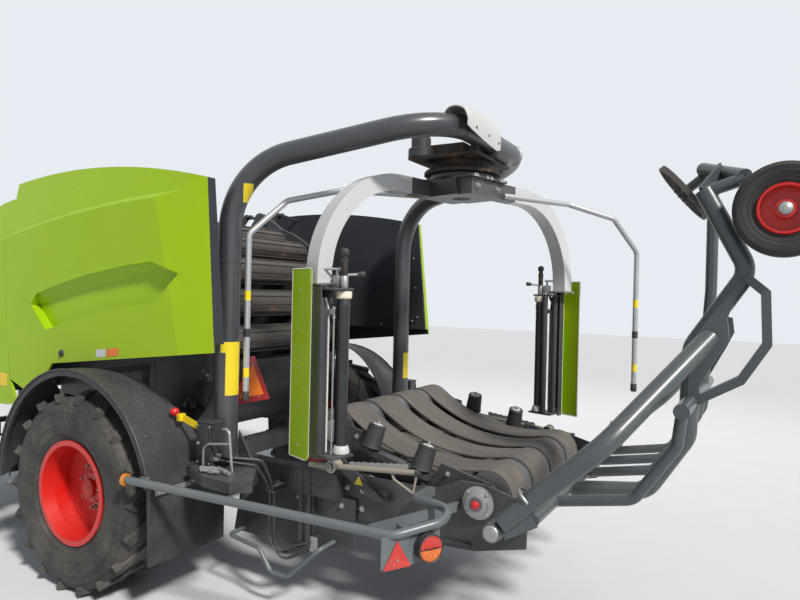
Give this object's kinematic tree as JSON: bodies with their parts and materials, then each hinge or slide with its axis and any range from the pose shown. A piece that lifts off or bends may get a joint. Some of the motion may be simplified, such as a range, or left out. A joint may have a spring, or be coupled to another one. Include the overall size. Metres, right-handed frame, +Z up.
{
  "type": "trailed round baler with bale wrapper",
  "caption": "Trailed round baler with a rotating twin-arm film wrapper behind the chamber, a belted wrapping table and a folded bale turner, on two wheels and a stand.",
  "frame": {"origin": "on the ground, under the middle of the machine's length and width", "axes": "+X forward in the direction of travel, +Y to the left, +Z up"},
  "size_m": [6.9829, 2.9726, 2.882],
  "materials": {
    "lime_paint": "gloss paint with road dust",
    "chassis_paint": "satin anthracite paint, dusty",
    "arch_paint": "satin anthracite paint",
    "blue_grey_paint": "satin blue grey paint, scratched",
    "dark_sheet": "dark grey sheet",
    "zinc_steel": "galvanized steel",
    "roller_steel": "worn, rusty and polished by crops",
    "rusty_steel": "rusty",
    "red_paint": "gloss red paint, dusty",
    "white_cover": "white",
    "black_plastic": "moulded",
    "belt_rubber": "worn belt",
    "tyre_rubber": "dusty",
    "signal_orange": "reflective",
    "signal_red": "lens"
  },
  "bodies": {
    "chassis": {"main_frame": "chassis_paint", "axle": "chassis_paint", "drawbar": "chassis_paint", "chamber_walls": "dark_sheet", "front_rollers": "roller_steel", "front_cover": "dark_sheet", "gearbox": "chassis_paint", "fenders": "black_plastic", "guard_rails": "blue_grey_paint", "rear_hoses": "black_plastic", "tail_lamps": "signal_red", "reflectors": "signal_orange", "front_panels": "lime_paint", "wrap_arch": "arch_paint", "wrap_head": "rusty_steel", "head_cover": "white_cover", "control_box": "black_plastic"},
    "stand": {"stand_leg": "zinc_steel"},
    "left_panel": {"left_side_panel": "lime_paint"},
    "right_panel": {"right_side_panel": "lime_paint"},
    "tailgate": {"tailgate_walls": "dark_sheet", "tailgate_rollers": "roller_steel", "tailgate_plate": "dark_sheet", "vehicle_sign": "signal_orange"},
    "left_wheel": {"left_tyre": "tyre_rubber", "left_rim": "red_paint"},
    "right_wheel": {"right_tyre": "tyre_rubber", "right_rim": "red_paint"},
    "wrapper": {"rotor_hub": "dark_sheet", "wrap_arms": "zinc_steel", "safety_bars": "zinc_steel", "film_carriers": "zinc_steel", "film_guards": "lime_paint"},
    "left_reel": {"left_film_reel": "black_plastic"},
    "right_reel": {"right_film_reel": "black_plastic"},
    "table": {"table_frame": "chassis_paint", "table_drums": "zinc_steel", "table_belts": "belt_rubber", "side_cones": "black_plastic"},
    "left_cutter": {"left_film_cutter": "zinc_steel"},
    "right_cutter": {"right_film_cutter": "zinc_steel"},
    "turner": {"turner_frame": "blue_grey_paint"},
    "tipping_disc": {"turner_disc": "black_plastic"},
    "turner_wheel": {"turner_tyre": "tyre_rubber", "turner_rim": "red_paint"},
    "pickup": {"pickup_frame": "chassis_paint"},
    "tine_reel": {"pickup_reel": "zinc_steel"},
    "left_gauge": {"left_gauge_wheel": "tyre_rubber"},
    "right_gauge": {"right_gauge_wheel": "tyre_rubber"}
  },
  "joints": [
    {"name": "left_wheel_spin", "type": "hinge", "parent": "chassis", "child": "left_wheel", "pos_m": [0.27, 1.15, 0.585], "axis": [0, 1, 0], "continuous": true},
    {"name": "right_wheel_spin", "type": "hinge", "parent": "chassis", "child": "right_wheel", "pos_m": [0.27, -1.15, 0.585], "axis": [0, 1, 0], "continuous": true},
    {"name": "stand_slide", "type": "slide", "parent": "chassis", "child": "stand", "axis": [0, 0, 1], "range_m": [0, 0.3]},
    {"name": "tailgate_hinge", "type": "hinge", "parent": "chassis", "child": "tailgate", "pos_m": [0.67, 0, 2.42], "axis": [0, 1, 0], "range_deg": [0, 58]},
    {"name": "left_panel_hinge", "type": "hinge", "parent": "chassis", "child": "left_panel", "pos_m": [0.27, 0.93, 2.498], "axis": [1, 0, 0], "range_deg": [0, 60]},
    {"name": "right_panel_hinge", "type": "hinge", "parent": "chassis", "child": "right_panel", "pos_m": [0.27, -0.93, 2.498], "axis": [-1, 0, 0], "range_deg": [0, 60]},
    {"name": "wrapper_spin", "type": "hinge", "parent": "chassis", "child": "wrapper", "pos_m": [-1.56, 0, 2.4], "axis": [0, 0, 1], "continuous": true},
    {"name": "left_reel_spin", "type": "hinge", "parent": "wrapper", "child": "left_reel", "pos_m": [-1.33709, 0.92142, 1.38], "axis": [0, 0, 1], "continuous": true},
    {"name": "right_reel_spin", "type": "hinge", "parent": "wrapper", "child": "right_reel", "pos_m": [-1.78291, -0.92142, 1.38], "axis": [0, 0, 1], "continuous": true},
    {"name": "table_tilt", "type": "hinge", "parent": "chassis", "child": "table", "pos_m": [-2.03, 0, 0.78], "axis": [0, -1, 0], "range_deg": [-6, 20]},
    {"name": "left_cutter_swing", "type": "hinge", "parent": "chassis", "child": "left_cutter", "pos_m": [-1.22, 0.8, 0.854], "axis": [0, 1, 0], "range_deg": [0, 35]},
    {"name": "right_cutter_swing", "type": "hinge", "parent": "chassis", "child": "right_cutter", "pos_m": [-1.9, -0.8, 0.854], "axis": [0, -1, 0], "range_deg": [0, 35]},
    {"name": "turner_fold", "type": "hinge", "parent": "chassis", "child": "turner", "pos_m": [-2.2, 0, 0.745], "axis": [0, -1, 0], "range_deg": [0, 70]},
    {"name": "tipping_disc_spin", "type": "hinge", "parent": "turner", "child": "tipping_disc", "pos_m": [-2.845, -0.035, 2.37], "axis": [-0.7611, -0.1001, 0.6409], "continuous": true},
    {"name": "turner_wheel_spin", "type": "hinge", "parent": "turner", "child": "turner_wheel", "pos_m": [-3.285, 0.4, 2.19], "axis": [0, 1, 0], "continuous": true},
    {"name": "pickup_lift", "type": "hinge", "parent": "chassis", "child": "pickup", "pos_m": [1.51, 0, 0.56], "axis": [0, 1, 0], "range_deg": [0, 27]},
    {"name": "tine_reel_spin", "type": "hinge", "parent": "pickup", "child": "tine_reel", "pos_m": [2.06, 0, 0.47], "axis": [0, 1, 0], "continuous": true},
    {"name": "left_gauge_spin", "type": "hinge", "parent": "pickup", "child": "left_gauge", "pos_m": [1.89, 1.142, 0.345], "axis": [0, 1, 0], "continuous": true},
    {"name": "right_gauge_spin", "type": "hinge", "parent": "pickup", "child": "right_gauge", "pos_m": [1.89, -1.142, 0.345], "axis": [0, 1, 0], "continuous": true}
  ]
}
